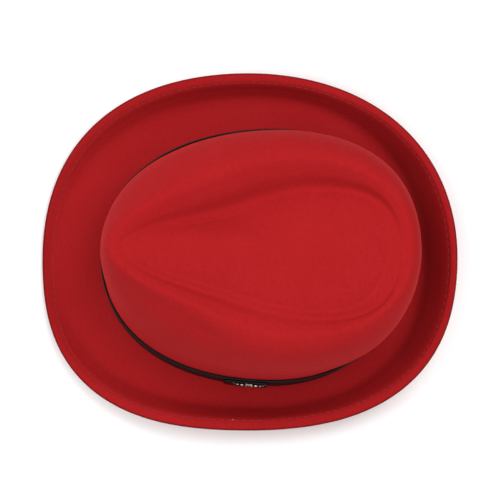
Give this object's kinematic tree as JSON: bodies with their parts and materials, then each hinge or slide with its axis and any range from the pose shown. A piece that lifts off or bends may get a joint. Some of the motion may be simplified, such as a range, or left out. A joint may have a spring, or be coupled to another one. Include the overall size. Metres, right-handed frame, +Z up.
{
  "type": "fedora hat",
  "caption": "Short-brimmed felt fedora with a teardrop crown, a rolled brim, a leather hatband and a small metal steer's head on its wearer's left.",
  "frame": {"origin": "under the middle of the brim's outline seen from above, on the level underside of the brim that the hat rests on", "axes": "+Z up through the crown, -Y to the front of the hat, +X to the wearer's left"},
  "size_m": [0.236, 0.2726, 0.108],
  "materials": {
    "felt": "matt pressed wool felt, crimson red",
    "leather": "smooth black strap leather, satin",
    "metal": "polished cast alloy, warm silver"
  },
  "bodies": {
    "root": {"felt_body": "felt", "hatband": "leather", "band_end": "leather", "ornament": "metal"}
  },
  "joints": []
}
